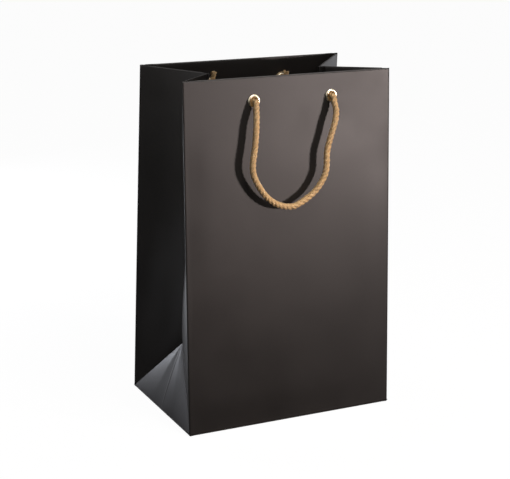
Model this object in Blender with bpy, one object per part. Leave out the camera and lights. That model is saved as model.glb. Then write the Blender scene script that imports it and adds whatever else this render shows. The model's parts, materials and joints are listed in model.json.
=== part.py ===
"""Gift bag for bottles: a folded paper bag with a V-gusset on each side, eyelets and
knotted cord handles.

Frame: origin at the bottom centre of the base, +X to the right along the width, the front
panel faces -Y, +Z up.  Metres.  The paper is one folded and glued sheet; here it is split
along its creases, so that each facet turns about its own fold.
"""
import math

import bmesh
import bpy
from mathutils import Matrix, Vector

MM = 0.001

# ---- driving dimensions, in millimetres --------------------------------------------------
WIDTH = 220.0            # across the front panel
DEPTH = 144.0            # front to back, at the base
HEIGHT = 340.0           # length of a panel from base fold to rim
LEAN_IN = 20.0           # how far each rim stands in from its base fold
PAPER = 0.35             # sheet thickness
LAYER = 0.60             # pitch of two stacked sheets (thickness plus the gap between them)
TOP_BOARD = 0.70         # greyboard strip folded into the rim
HEM = 45.0               # turned-in strip of the panels
GUSSET_HEM = 34.0        # turned-in strip of the gussets
FOLD_CUT = 1.1           # cut-back of a facet at a hinged side fold
CREASE_CUT = 0.5         # cut-back at the crease inside each gusset half
OPEN_DIAGONAL_CUT = 1.3  # clearance at the open pivots along the base triangles
OPEN_CENTRE_CUT = 2.6    # clearance at the open pivots along the gusset centre creases
CORNER_CUT = 5.0         # rim corner cut off each inner gusset facet
CORNER_CLEAR = 17.0      # rim stack stops short of the corner, where the gusset folds flat
BASE_BOARD = 1.5
EYELET_DROP = 22.2       # eyelet centre below the rim
HANDLE_SPAN = 82.0       # eyelet to eyelet
HANDLE_SHIFT = 3.5       # both handles sit a little to the right of centre
EYELET_BORE = 3.3        # radii
EYELET_BARREL = 3.9
EYELET_FLANGE = 6.15
HOLE_R = 4.2
WASHER_R = 6.6
CORD_R = 3.0
CORD_GAP = 0.4
HANDLE_DROP = 103.6      # eyelet centre to the lowest point of the cord's centre line
HANDLE_TILT = 3.0        # degrees the hanging loop stands off its panel
HANDLE_SWAY = 5.0        # the loop hangs a little to the left
KNOT_R = 7.5
KNOT_DEPTH = 10.0
TAIL_R = 2.6

HALF_W = WIDTH / 2
HALF_D = DEPTH / 2
LEAN = math.asin(LEAN_IN / HEIGHT)

for old in list(bpy.data.objects):
    bpy.data.objects.remove(old, do_unlink=True)


# ---- materials -----------------------------------------------------------------------------
def material(name, color, roughness, metallic=0.0):
    m = bpy.data.materials.new(name)
    m.use_nodes = True
    p = m.node_tree.nodes["Principled BSDF"]
    p.inputs["Base Color"].default_value = (*color, 1.0)
    p.inputs["Roughness"].default_value = roughness
    p.inputs["Metallic"].default_value = metallic
    m.diffuse_color = (*color, 1.0)
    return m


BLACK_PAPER = material("black_paper", (0.032, 0.027, 0.025), 0.42)
BLACK_LINER = material("black_liner", (0.028, 0.025, 0.024), 0.6)
GREYBOARD = material("greyboard", (0.22, 0.20, 0.18), 0.85)
BRASS = material("brass", (0.83, 0.62, 0.30), 0.25, 1.0)
CORD = material("gold_cord", (0.42, 0.24, 0.10), 0.6)


# ---- pivots: one empty per moving body, on its joint's axis ---------------------------------
PIVOT = {}


def pivot(name, pos, parent=None):
    e = bpy.data.objects.new("pivot_" + name, None)
    e.empty_display_size = 0.01
    bpy.context.scene.collection.objects.link(e)
    e.location = pos * MM
    if parent:
        e.parent = PIVOT[parent][0]
        e.location = (pos - PIVOT[parent][1]) * MM
    PIVOT[name] = (e, pos.copy())


def add_object(name, bm, mat, body, smooth=False):
    """Write a bmesh built in world millimetres as an object on its body's pivot."""
    empty, origin = PIVOT[body]
    bmesh.ops.recalc_face_normals(bm, faces=bm.faces[:])
    bmesh.ops.translate(bm, vec=-origin, verts=bm.verts[:])
    bmesh.ops.scale(bm, vec=(MM, MM, MM), verts=bm.verts[:])
    mesh = bpy.data.meshes.new(name)
    bm.to_mesh(mesh)
    bm.free()
    mesh.materials.append(mat)
    if smooth:
        mesh.shade_smooth()
        mesh.set_sharp_from_angle(angle=math.radians(40))
    obj = bpy.data.objects.new(name, mesh)
    bpy.context.scene.collection.objects.link(obj)
    obj.parent = empty
    return obj


# ---- geometry helpers ------------------------------------------------------------------------
def inset_polygon(corners, cuts, normal):
    """Move edge i (corner i to i+1) of a flat polygon in by cuts[i]."""
    n = len(corners)
    centre = sum(corners, Vector()) / n
    lines = []
    for i in range(n):
        a, b = corners[i], corners[(i + 1) % n]
        d = (b - a).normalized()
        side = normal.cross(d)
        if side.dot(centre - a) < 0:
            side = -side
        lines.append((a + side * cuts[i], d))
    out = []
    for i in range(n):
        p, d = lines[i - 1]
        q, e = lines[i]
        w = q - p
        denom = d.cross(e).dot(normal)
        out.append(p + d * (w.cross(e).dot(normal) / denom))
    return out


def plate_mesh(corners, cuts, start, thickness, inward):
    """A flat sheet between start and start + thickness, measured inward from the corners."""
    normal = (corners[1] - corners[0]).cross(corners[2] - corners[0]).normalized()
    if normal.dot(inward) < 0:
        normal = -normal
    pts = inset_polygon(corners, cuts, normal)
    bm = bmesh.new()
    outer = [bm.verts.new(p + normal * start) for p in pts]
    inner = [bm.verts.new(p + normal * (start + thickness)) for p in pts]
    bm.faces.new(outer)
    bm.faces.new(inner[::-1])
    for i in range(len(pts)):
        j = (i + 1) % len(pts)
        bm.faces.new((outer[i], outer[j], inner[j], inner[i]))
    return bm


def lathe_mesh(profile, origin, axis, closed, segments=28):
    """Turn a profile of (radius, distance along axis) about the axis line."""
    axis = axis.normalized()
    ref = Vector((1, 0, 0))
    u = (ref - axis * ref.dot(axis)).normalized()
    v = axis.cross(u)
    bm = bmesh.new()
    rings = []
    for r, w in profile:
        if r < 1e-9:
            rings.append([bm.verts.new(origin + axis * w)])
        else:
            rings.append([bm.verts.new(origin + axis * w
                                       + u * (r * math.cos(2 * math.pi * k / segments))
                                       + v * (r * math.sin(2 * math.pi * k / segments)))
                          for k in range(segments)])
    pairs = list(zip(rings, rings[1:]))
    if closed:
        pairs.append((rings[-1], rings[0]))
    for a, b in pairs:
        for k in range(segments):
            k2 = (k + 1) % segments
            if len(a) == 1:
                bm.faces.new((a[0], b[k], b[k2]))
            elif len(b) == 1:
                bm.faces.new((a[k], b[0], a[k2]))
            else:
                bm.faces.new((a[k], b[k], b[k2], a[k2]))
    return bm


def tube_mesh(path, side, radius, segments=14, cap_rings=3):
    """A round cord along a path in one plane, with a ball end on both ends."""
    n = len(path)
    stations = []

    def frame(t):
        t = t.normalized()
        return side.cross(t).normalized(), side.normalized()

    first = (path[1] - path[0]).normalized()
    last = (path[-1] - path[-2]).normalized()
    for i in range(cap_rings, 0, -1):
        a = math.pi / 2 * i / (cap_rings + 0.5)
        stations.append((path[0] - first * (radius * math.sin(a)), first, radius * math.cos(a)))
    for i in range(n):
        t = path[min(i + 1, n - 1)] - path[max(i - 1, 0)]
        stations.append((path[i], t, radius))
    for i in range(1, cap_rings + 1):
        a = math.pi / 2 * i / (cap_rings + 0.5)
        stations.append((path[-1] + last * (radius * math.sin(a)), last, radius * math.cos(a)))
    bm = bmesh.new()
    rings = []
    for p, t, r in stations:
        u, v = frame(t)
        rings.append([bm.verts.new(p + u * (r * math.cos(2 * math.pi * k / segments))
                                   + v * (r * math.sin(2 * math.pi * k / segments)))
                      for k in range(segments)])
    for a, b in zip(rings, rings[1:]):
        for k in range(segments):
            k2 = (k + 1) % segments
            bm.faces.new((a[k], a[k2], b[k2], b[k]))
    for ring, tip in ((rings[0], path[0] - first * radius), (rings[-1], path[-1] + last * radius)):
        pole = bm.verts.new(tip)
        for k in range(segments):
            bm.faces.new((ring[k], ring[(k + 1) % segments], pole))
    return bm


# ---- the bag's corner points at rest, worked out from the folding geometry -------------------
def mirrored(p, sx, sy):
    """The left-front point p, taken to side sx (-1 left, 1 right) and sy (-1 front, 1 back)."""
    return Vector((-p.x * sx, -p.y * sy, p.z))


BOTTOM = Vector((-HALF_W, -HALF_D, 0.0))                       # left-front base corner
UP = Vector((0.0, math.sin(LEAN), math.cos(LEAN)))             # up the front panel
RIM = BOTTOM + UP * HEIGHT                                     # left-front rim corner
# The base triangle is half a square of side DEPTH, so its tip stands HALF_D from the base
# edge and HALF_D up the panel's side fold.
TIP_COS = (1.0 - math.sin(LEAN)) / math.cos(LEAN)
TRIANGLE_TILT = math.acos(TIP_COS)
TIP = Vector((-HALF_W + HALF_D * math.sin(TRIANGLE_TILT), 0.0, HALF_D * TIP_COS))


def centre_top():
    """Top of the gusset's centre crease: HALF_D from the rim corner, HEIGHT - HALF_D from TIP."""
    reach = math.sqrt(HALF_D ** 2 - RIM.y ** 2)
    lo, hi = -0.5, 0.8
    for _ in range(80):
        a = (lo + hi) / 2
        x = -HALF_W + reach * math.cos(a)
        z = RIM.z - reach * math.sin(a)
        far = math.hypot(x - TIP.x, z - TIP.z) - (HEIGHT - HALF_D)
        lo, hi = (a, hi) if far > 0 else (lo, a)
    return Vector((x, 0.0, z))


CENTRE_TOP = centre_top()

# ---- pivots ------------------------------------------------------------------------------------
SIDES = (("left", -1), ("right", 1))
FACES = (("front", -1), ("back", 1))
EYELET_X = {"left": HANDLE_SHIFT - HANDLE_SPAN / 2, "right": HANDLE_SHIFT + HANDLE_SPAN / 2}
HANDLE_STANDOFF = 1.2 + CORD_GAP + CORD_R


def panel_up(sy):
    return Vector((0.0, -sy * math.sin(LEAN), math.cos(LEAN)))


def panel_in(sy):
    return Vector((0.0, -sy * math.cos(LEAN), -math.sin(LEAN)))


def panel_point(sy, x, up, inward=0.0):
    """x across, up along the panel from its base fold, inward from its outer face."""
    return Vector((x, sy * HALF_D, 0.0)) + panel_up(sy) * up + panel_in(sy) * inward


pivot("base", Vector((0, 0, 0)))
for fname, sy in FACES:
    pivot(fname + "_panel", Vector((0, sy * HALF_D, 0)), "base")
    pivot(fname + "_handle",
          panel_point(sy, HANDLE_SHIFT, HEIGHT - EYELET_DROP, -HANDLE_STANDOFF), fname + "_panel")
    for sname, sx in SIDES:
        pivot(f"{sname}_{fname}_gusset_side", mirrored(BOTTOM, sx, sy), fname + "_panel")
        pivot(f"{sname}_{fname}_gusset_inner", mirrored(TIP, sx, sy),
              f"{sname}_{fname}_gusset_side")
for sname, sx in SIDES:
    pivot(f"{sname}_gusset_triangle", Vector((sx * HALF_W, 0, 0)), "base")

# ---- base: two glued bottom flaps, the folded-in side flaps and the stiffening board ---------
DOWN_IN = Vector((0, 0, 1))


def flat_sheet(name, outline, z, thickness, mat):
    corners = [Vector((x, y, 0)) for x, y in outline]
    bm = plate_mesh(corners, [0] * len(corners), z, thickness, DOWN_IN)
    return add_object(name, bm, mat, "base")


bx = HALF_W - 1.7
flat_sheet("base_front_flap", [(-bx, -HALF_D + 1.0), (bx, -HALF_D + 1.0),
                               (bx, HALF_D - 1.6), (-bx, HALF_D - 1.6)], 0.0, PAPER, BLACK_PAPER)
flat_sheet("base_back_flap", [(-bx, -15), (bx, -15), (bx, HALF_D - 1.2), (-bx, HALF_D - 1.2)],
           LAYER, PAPER, BLACK_PAPER)
for sname, sx in SIDES:
    reach = 55.0
    flat_sheet(f"base_{sname}_dust_flap",
               [(sx * (HALF_W - 2.6), -HALF_D + 3.6), (sx * (HALF_W - 2.6), HALF_D - 3.6),
                (sx * (HALF_W - reach), HALF_D - reach), (sx * (HALF_W - reach), reach - HALF_D)],
               2 * LAYER, PAPER, BLACK_PAPER)
flat_sheet("base_board", [(-HALF_W + 4.5, -HALF_D + 2.5), (HALF_W - 4.5, -HALF_D + 2.5),
                          (HALF_W - 4.5, HALF_D - 2.5), (-HALF_W + 4.5, HALF_D - 2.5)],
           3 * LAYER, BASE_BOARD, GREYBOARD)

# ---- front and back panels ---------------------------------------------------------------------


def eyelet_cutter(fname, sy, sname):
    """A plain rod through every layer at one eyelet."""
    top = HEIGHT - EYELET_DROP
    bm = lathe_mesh([(0, -4.0), (HOLE_R, -4.0), (HOLE_R, 6.0), (0, 6.0)],
                    panel_point(sy, EYELET_X[sname], top), panel_in(sy), False)
    obj = add_object(f"cutter_{fname}_{sname}", bm, BRASS, fname + "_panel")
    obj.hide_render = True
    obj.display_type = "WIRE"
    return obj


def panel_sheet(name, fname, sy, x0, x1, s0, s1, start, thickness, mat, cutters):
    corners = [panel_point(sy, x0, s0), panel_point(sy, x1, s0),
               panel_point(sy, x1, s1), panel_point(sy, x0, s1)]
    bm = plate_mesh(corners, [0, 0, 0, 0], start, thickness, panel_in(sy))
    obj = add_object(name, bm, mat, fname + "_panel")
    for c in cutters:
        m = obj.modifiers.new("hole", "BOOLEAN")
        m.operation = "DIFFERENCE"
        m.solver = "EXACT"
        m.object = c
    return obj


BOARD_START = LAYER
HEM_START = LAYER + TOP_BOARD + 0.25
WASHER_START = HEM_START + PAPER + 0.25
ROLL_START = WASHER_START + 0.6 + 0.25
STUB_END = ROLL_START + 0.7 + 0.4
for fname, sy in FACES:
    cutters = [eyelet_cutter(fname, sy, sname) for sname, _ in SIDES]
    side = HALF_W - FOLD_CUT
    panel_sheet(fname + "_panel", fname, sy, -side, side, FOLD_CUT, HEIGHT, 0.0, PAPER,
                BLACK_PAPER, cutters)
    rim = HALF_W - CORNER_CLEAR
    panel_sheet(fname + "_top_board", fname, sy, -rim, rim, HEIGHT - 40.0, HEIGHT - 1.0,
                BOARD_START, TOP_BOARD, GREYBOARD, cutters)
    panel_sheet(fname + "_hem", fname, sy, -rim, rim, HEIGHT - HEM, HEIGHT - 0.4,
                HEM_START, PAPER, BLACK_LINER, cutters)
    for sname, sx in SIDES:
        centre = panel_point(sy, EYELET_X[sname], HEIGHT - EYELET_DROP)
        axis = panel_in(sy)
        # Eyelet: domed outer flange, barrel through every layer, rolled inner end.
        add_object(f"{fname}_{sname}_eyelet", lathe_mesh(
            [(EYELET_BORE, -0.85), (3.6, -1.1), (4.4, -1.2), (5.3, -1.1), (5.95, -0.75),
             (EYELET_FLANGE, -0.25), (EYELET_BARREL, -0.25), (EYELET_BARREL, ROLL_START),
             (5.0, ROLL_START), (5.2, ROLL_START + 0.3), (4.6, ROLL_START + 0.65),
             (3.7, ROLL_START + 0.65), (EYELET_BORE, ROLL_START + 0.35)],
            centre, axis, True), BRASS, fname + "_panel", smooth=True)
        add_object(f"{fname}_{sname}_washer", lathe_mesh(
            [(HOLE_R, WASHER_START), (WASHER_R, WASHER_START), (WASHER_R, WASHER_START + 0.4),
             (WASHER_R - 0.4, WASHER_START + 0.6), (HOLE_R, WASHER_START + 0.6)],
            centre, axis, True), BRASS, fname + "_panel", smooth=True)
        # Knot: the cord's end through the eyelet, the knot that stops it, and its cut tail.
        stub = CORD_R - 0.05
        belly = [(KNOT_R * math.cos(a), STUB_END + KNOT_DEPTH / 2 + KNOT_DEPTH / 2 * math.sin(a))
                 for a in [math.radians(d) for d in range(-62, 76, 14)]]
        knot = add_object(f"{fname}_{sname}_knot", lathe_mesh(
            [(0, -1.1), (stub, -1.1), (stub, STUB_END)] + belly
            + [(0, STUB_END + KNOT_DEPTH)], centre, axis, False, 24),
            CORD, fname + "_panel", smooth=True)
        tail_dir = (panel_up(sy) + Vector((0.22, 0, 0))).normalized()
        tail = add_object(f"cutter_tail_{fname}_{sname}", lathe_mesh(
            [(0, 0), (TAIL_R, 0), (TAIL_R, 13.0), (0, 13.0)],
            centre + axis * (STUB_END + KNOT_DEPTH * 0.52), tail_dir, False, 16),
            CORD, fname + "_panel")
        tail.hide_render = True
        tail.display_type = "WIRE"
        m = knot.modifiers.new("tail", "BOOLEAN")
        m.operation = "UNION"
        m.solver = "EXACT"
        m.object = tail
# Glue tab of the sheet's last panel, inside the back panel's left edge.
panel_sheet("side_seam_tab", "back", 1, -HALF_W + 2.6, -HALF_W + 17.0, 6.0, HEIGHT - HEM - 5.0,
            LAYER, PAPER, BLACK_LINER, [])

# ---- gussets -------------------------------------------------------------------------------------
INTO_BAG = {-1: Vector((1, 0, 0)), 1: Vector((-1, 0, 0))}
for sname, sx in SIDES:
    base_f, base_b = mirrored(BOTTOM, sx, -1), mirrored(BOTTOM, sx, 1)
    tip = mirrored(TIP, sx, -1)
    bm = plate_mesh([base_f, base_b, tip], [FOLD_CUT, OPEN_DIAGONAL_CUT, OPEN_DIAGONAL_CUT],
                    0.0, PAPER, INTO_BAG[sx])
    add_object(f"{sname}_gusset_triangle", bm, BLACK_PAPER, f"{sname}_gusset_triangle")
    for fname, sy in FACES:
        bottom, rim = mirrored(BOTTOM, sx, sy), mirrored(RIM, sx, sy)
        top = mirrored(CENTRE_TOP, sx, sy)
        bm = plate_mesh([bottom, tip, rim], [OPEN_DIAGONAL_CUT, CREASE_CUT, FOLD_CUT],
                        0.0, PAPER, INTO_BAG[sx])
        add_object(f"{sname}_{fname}_gusset_side", bm, BLACK_PAPER,
                   f"{sname}_{fname}_gusset_side")
        # Its rim corner is cut off, because it folds nearly flat against the panel there.
        across = (top - rim).normalized()
        bm = plate_mesh([tip, top, rim + across * CORNER_CUT,
                         rim + (tip - rim).normalized() * (CORNER_CUT * 1.4)],
                        [OPEN_CENTRE_CUT, 0.0, 0.0, CREASE_CUT], 0.0, PAPER, INTO_BAG[sx])
        add_object(f"{sname}_{fname}_gusset_inner", bm, BLACK_PAPER,
                   f"{sname}_{fname}_gusset_inner")
        # Turned-in strip along the gusset's rim, on its inner side.
        down = (tip - top).normalized()
        hem = [rim + across * 9.0 + down * 0.4, rim + across * (HALF_D - 4.2) + down * 0.4,
               rim + across * (HALF_D - 4.2) + down * GUSSET_HEM,
               rim + across * 14.5 + down * GUSSET_HEM]
        bm = plate_mesh(hem, [0, 0, 0, 0], LAYER, PAPER, INTO_BAG[sx])
        add_object(f"{sname}_{fname}_gusset_hem", bm, BLACK_LINER,
                   f"{sname}_{fname}_gusset_inner")

# ---- handles -------------------------------------------------------------------------------------
BEND_R = HANDLE_SPAN / 2
STRAND = HANDLE_DROP - BEND_R


def smoothstep(t):
    t = min(max(t, 0.0), 1.0)
    return t * t * (3 - 2 * t)


def handle_path(sy):
    """Two hanging strands and a half-round bend, in a plane tilted a little off the panel."""
    start = panel_point(sy, HANDLE_SHIFT, HEIGHT - EYELET_DROP, -HANDLE_STANDOFF)
    tilt = math.radians(HANDLE_TILT)
    hang = -panel_up(sy) * math.cos(tilt) - panel_in(sy) * math.sin(tilt)
    flat = [(-BEND_R, STRAND * i / 12) for i in range(12)]
    flat += [(-BEND_R * math.cos(math.pi * i / 24), STRAND + BEND_R * math.sin(math.pi * i / 24))
             for i in range(25)]
    flat += [(BEND_R, STRAND * i / 12) for i in range(11, -1, -1)]
    return [start + Vector((x - HANDLE_SWAY * smoothstep(d / HANDLE_DROP), 0, 0)) + hang * d
            for x, d in flat], hang


for fname, sy in FACES:
    path, hang = handle_path(sy)
    normal = Vector((1, 0, 0)).cross(hang).normalized()
    add_object(fname + "_handle_cord", tube_mesh(path, normal, CORD_R), CORD,
               fname + "_handle", smooth=True)
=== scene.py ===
"""Looks of the gift bag: paper sheets with rounded folds, twisted rope, knots, eyelets,
materials, floor, light and camera.  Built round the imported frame, in metres."""

import json
import math

import bpy
from mathutils import Matrix, Vector, noise


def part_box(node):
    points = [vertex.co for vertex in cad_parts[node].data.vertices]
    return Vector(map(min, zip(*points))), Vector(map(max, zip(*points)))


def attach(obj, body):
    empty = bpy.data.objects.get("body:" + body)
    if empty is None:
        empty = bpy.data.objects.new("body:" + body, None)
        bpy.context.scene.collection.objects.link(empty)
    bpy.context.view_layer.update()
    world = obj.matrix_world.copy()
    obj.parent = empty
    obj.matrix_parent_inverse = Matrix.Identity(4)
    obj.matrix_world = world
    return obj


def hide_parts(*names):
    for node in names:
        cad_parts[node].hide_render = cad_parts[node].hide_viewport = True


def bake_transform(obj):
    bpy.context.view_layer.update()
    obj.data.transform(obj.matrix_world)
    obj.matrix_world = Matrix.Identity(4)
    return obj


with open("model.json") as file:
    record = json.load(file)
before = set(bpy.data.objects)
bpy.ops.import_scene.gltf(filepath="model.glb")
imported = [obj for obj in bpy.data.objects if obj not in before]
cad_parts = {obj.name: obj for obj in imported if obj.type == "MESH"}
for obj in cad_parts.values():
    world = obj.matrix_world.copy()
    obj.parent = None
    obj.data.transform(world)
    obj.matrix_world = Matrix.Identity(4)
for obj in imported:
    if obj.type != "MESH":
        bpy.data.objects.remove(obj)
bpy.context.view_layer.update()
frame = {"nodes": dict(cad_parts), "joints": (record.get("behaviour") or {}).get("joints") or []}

MM = 0.001
JOINTS = {j["name"]: j for j in frame["joints"]}

# ---- the bag's corner points, from the frame's joints, in millimetres -------------------------
HALF_W = JOINTS["right_triangle_fold"]["pos_m"][0] / MM
HALF_D = -JOINTS["mouth_close"]["pos_m"][1] / MM
_axis = Vector(JOINTS["left_front_side_fold"]["axis"])
UP = _axis if _axis.z > 0 else -_axis
LEAN = math.atan2(UP.y, UP.z)
HEIGHT = round(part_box("front_panel")[1].z / MM / math.cos(LEAN), 2)
BOTTOM = Vector((-HALF_W, -HALF_D, 0.0))
RIM = BOTTOM + UP * HEIGHT
TIP = Vector(JOINTS["left_front_inner_fold"]["pos_m"]) / MM
TILT = math.atan2(TIP.x + HALF_W, TIP.z)
HANDLE_PIVOT = {f: Vector(JOINTS[f + "_handle_swing"]["pos_m"]) / MM for f in ("front", "back")}


def centre_top():
    reach = math.sqrt(HALF_D ** 2 - RIM.y ** 2)
    lo, hi = -0.5, 0.8
    for _ in range(80):
        a = (lo + hi) / 2
        x = -HALF_W + reach * math.cos(a)
        z = RIM.z - reach * math.sin(a)
        far = math.hypot(x - TIP.x, z - TIP.z) - (HEIGHT - HALF_D)
        lo, hi = (a, hi) if far > 0 else (lo, a)
    # the paper stands a little proud where its rim folds inwards
    return Vector((x, 0.0, z + 1.5))


CENTRE_TOP = centre_top()
SHEET = 0.34          # paper thickness
FOLD_R = 0.8          # radius of the main folds
BASE_Z = SHEET / 2    # middle of the bottom sheet
EYELET_S = (HANDLE_PIVOT["front"] - Vector((HANDLE_PIVOT["front"].x, -HALF_D, 0.0))).dot(UP)
_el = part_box("front_left_eyelet")
_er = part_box("front_right_eyelet")
EYELET_X = {"left": (_el[0].x + _el[1].x) / 2 / MM, "right": (_er[0].x + _er[1].x) / 2 / MM}
HEM_W = 1.72          # middle of the hem sheet behind the panel's middle, over the board
SIDES = (("left", -1), ("right", 1))
FACES = (("front", -1), ("back", 1))


def mirrored(p, sx, sy):
    return Vector((-p.x * sx, -p.y * sy, p.z))


def panel_up(sy):
    return Vector((0.0, -sy * math.sin(LEAN), math.cos(LEAN)))


def panel_in(sy):
    return Vector((0.0, -sy * math.cos(LEAN), -math.sin(LEAN)))


def panel_point(sy, x, s, w=0.0):
    return Vector((x, sy * HALF_D, 0.0)) + panel_up(sy) * s + panel_in(sy) * w


def smooth(t):
    t = min(max(t, 0.0), 1.0)
    return t * t * (3 - 2 * t)


def bump(x, centre, width):
    return math.exp(-((x - centre) / width) ** 2)


# ---- node materials -----------------------------------------------------------------------------
def new_material(name):
    m = bpy.data.materials.new(name)
    m.use_nodes = True
    nt = m.node_tree
    return m, nt, nt.nodes["Principled BSDF"]


def add(nt, kind, **values):
    n = nt.nodes.new(kind)
    for k, v in values.items():
        if k in n.inputs:
            n.inputs[k].default_value = v
        else:
            setattr(n, k, v)
    return n


def mixed(nt, factor, a, b, blend="MIX"):
    """A colour mix; a and b are sockets or colours."""
    m = nt.nodes.new("ShaderNodeMix")
    m.data_type = "RGBA"
    m.blend_type = blend
    for sock, v in ((m.inputs[0], factor), (m.inputs[6], a), (m.inputs[7], b)):
        if hasattr(v, "links"):
            nt.links.new(v, sock)
        elif isinstance(v, (int, float)):
            sock.default_value = v
        else:
            sock.default_value = (*v, 1.0) if len(v) == 3 else v
    return m.outputs[2]


def ramp(nt, socket, lo, hi, a=0.0, b=1.0):
    r = nt.nodes.new("ShaderNodeMapRange")
    nt.links.new(socket, r.inputs["Value"])
    r.inputs["From Min"].default_value = lo
    r.inputs["From Max"].default_value = hi
    r.inputs["To Min"].default_value = a
    r.inputs["To Max"].default_value = b
    return r.outputs["Result"]


def paper(name, base, worn, rough, specular, grain):
    """Coated paper: fine film grain, faint fibre mottling, soft handling marks, and pale, rougher
    folds where the 'wear' attribute is high."""
    m, nt, p = new_material(name)
    pos = nt.nodes.new("ShaderNodeTexCoord").outputs["Object"]
    fine = add(nt, "ShaderNodeTexNoise", Scale=2600.0, Detail=3.0, Roughness=0.6)
    fibre = add(nt, "ShaderNodeTexNoise", Scale=420.0, Detail=5.0, Roughness=0.65)
    cloud = add(nt, "ShaderNodeTexNoise", Scale=17.0, Detail=4.0, Roughness=0.55)
    scuff = add(nt, "ShaderNodeTexNoise", Scale=90.0, Detail=6.0, Roughness=0.75)
    for n in (fine, fibre, cloud, scuff):
        nt.links.new(pos, n.inputs["Vector"])
    wear = add(nt, "ShaderNodeAttribute", attribute_name="wear").outputs["Fac"]
    broken = nt.nodes.new("ShaderNodeMath")
    broken.operation = "MULTIPLY"
    nt.links.new(wear, broken.inputs[0])
    nt.links.new(ramp(nt, scuff.outputs["Fac"], 0.30, 0.68, 0.25, 1.0), broken.inputs[1])
    mottled = mixed(nt, ramp(nt, fibre.outputs["Fac"], 0.35, 0.65),
                    [c * 0.88 for c in base], [c * 1.14 for c in base])
    clouded = mixed(nt, ramp(nt, cloud.outputs["Fac"], 0.3, 0.7), mottled,
                    [c * 1.25 for c in base])
    nt.links.new(mixed(nt, broken.outputs[0], clouded, worn), p.inputs["Base Color"])
    r = nt.nodes.new("ShaderNodeMath")
    r.operation = "ADD"
    nt.links.new(ramp(nt, cloud.outputs["Fac"], 0.25, 0.75, rough - 0.05, rough + 0.05),
                 r.inputs[0])
    nt.links.new(ramp(nt, broken.outputs[0], 0.0, 1.0, 0.0, 0.06), r.inputs[1])
    nt.links.new(r.outputs[0], p.inputs["Roughness"])
    p.inputs["Specular IOR Level"].default_value = specular
    b1 = add(nt, "ShaderNodeBump", Strength=grain, Distance=0.00006)
    nt.links.new(fine.outputs["Fac"], b1.inputs["Height"])
    b2 = add(nt, "ShaderNodeBump", Strength=grain * 0.6, Distance=0.0002)
    nt.links.new(fibre.outputs["Fac"], b2.inputs["Height"])
    nt.links.new(b1.outputs["Normal"], b2.inputs["Normal"])
    nt.links.new(b2.outputs["Normal"], p.inputs["Normal"])
    return m


PAPER_OUT = paper("satin_black_paper", (0.0150, 0.0122, 0.0108), (0.060, 0.051, 0.046), 0.44, 0.55,
                  0.22)
PAPER_IN = paper("matt_black_liner", (0.0115, 0.0100, 0.0092), (0.040, 0.034, 0.031), 0.68, 0.30,
                 0.45)


def board_material():
    m, nt, p = new_material("fibre_board")
    pos = nt.nodes.new("ShaderNodeTexCoord").outputs["Object"]
    fibre = add(nt, "ShaderNodeTexNoise", Scale=900.0, Detail=6.0, Roughness=0.7)
    fleck = add(nt, "ShaderNodeTexVoronoi", Scale=700.0)
    for n in (fibre, fleck):
        nt.links.new(pos, n.inputs["Vector"])
    c = mixed(nt, ramp(nt, fibre.outputs["Fac"], 0.3, 0.7), (0.030, 0.027, 0.025),
              (0.060, 0.054, 0.050))
    c = mixed(nt, ramp(nt, fleck.outputs["Distance"], 0.06, 0.0), c, (0.10, 0.09, 0.08))
    nt.links.new(c, p.inputs["Base Color"])
    p.inputs["Roughness"].default_value = 0.86
    b = add(nt, "ShaderNodeBump", Strength=0.5, Distance=0.0002)
    nt.links.new(fibre.outputs["Fac"], b.inputs["Height"])
    nt.links.new(b.outputs["Normal"], p.inputs["Normal"])
    return m


BOARD = board_material()


def brass_material(name, light, dark, rough):
    m, nt, p = new_material(name)
    pos = nt.nodes.new("ShaderNodeTexCoord").outputs["Object"]
    haze = add(nt, "ShaderNodeTexNoise", Scale=450.0, Detail=4.0, Roughness=0.6)
    scratch = add(nt, "ShaderNodeTexNoise", Scale=3500.0, Detail=2.0, Roughness=0.5)
    for n in (haze, scratch):
        nt.links.new(pos, n.inputs["Vector"])
    nt.links.new(mixed(nt, ramp(nt, haze.outputs["Fac"], 0.35, 0.7), light, dark),
                 p.inputs["Base Color"])
    p.inputs["Metallic"].default_value = 1.0
    nt.links.new(ramp(nt, haze.outputs["Fac"], 0.3, 0.7, rough, rough + 0.14),
                 p.inputs["Roughness"])
    b = add(nt, "ShaderNodeBump", Strength=0.12, Distance=0.00004)
    nt.links.new(scratch.outputs["Fac"], b.inputs["Height"])
    nt.links.new(b.outputs["Normal"], p.inputs["Normal"])
    return m


BRASS = brass_material("polished_brass", (0.96, 0.88, 0.70), (0.92, 0.79, 0.55), 0.20)
DULL_BRASS = brass_material("dull_brass", (0.42, 0.33, 0.20), (0.34, 0.26, 0.15), 0.42)


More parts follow.
